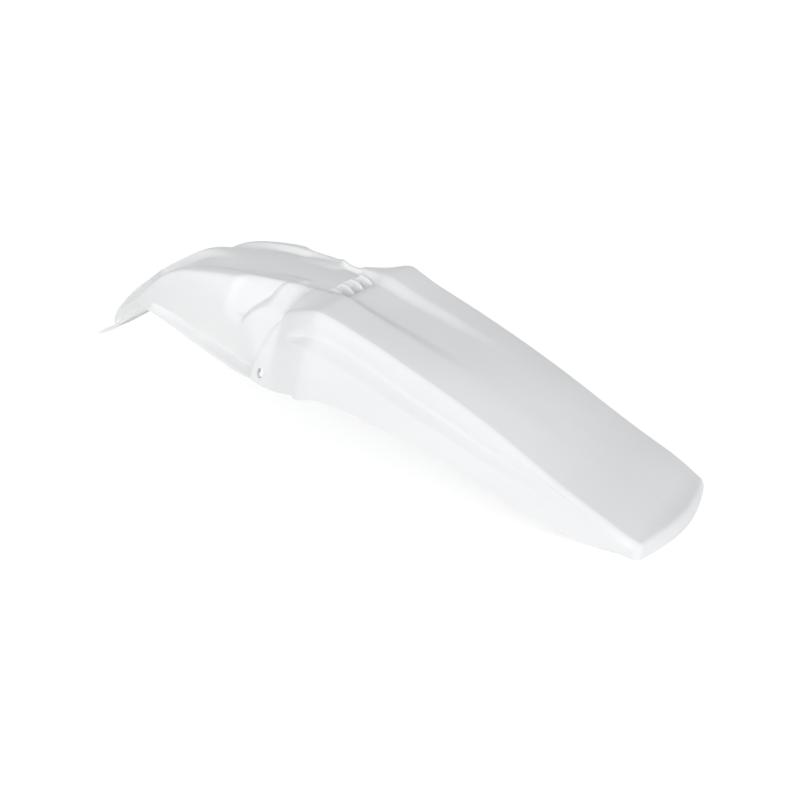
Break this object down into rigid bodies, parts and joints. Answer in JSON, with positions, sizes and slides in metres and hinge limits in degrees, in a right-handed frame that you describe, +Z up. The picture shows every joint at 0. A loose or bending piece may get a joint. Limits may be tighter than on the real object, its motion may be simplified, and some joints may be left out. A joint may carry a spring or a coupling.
{
  "type": "motorcycle rear fender",
  "caption": "One-piece moulded rear fender for an off-road motorcycle: hollow hood with tongue, step seam, ribbed channel, grooved side skirts and tapering blade with turned-down tail.",
  "frame": {"origin": "centre of the bounding box's base, on the surface that the fender rests on", "axes": "+X towards the tail, +Y across to the fender's left side, +Z up; the fender is mirror symmetric about Y = 0"},
  "size_m": [0.75, 0.2096, 0.1497],
  "materials": {
    "fender_plastic": "white polypropylene, smooth satin moulding"
  },
  "bodies": {
    "root": {"rear_fender": "fender_plastic"}
  },
  "joints": []
}
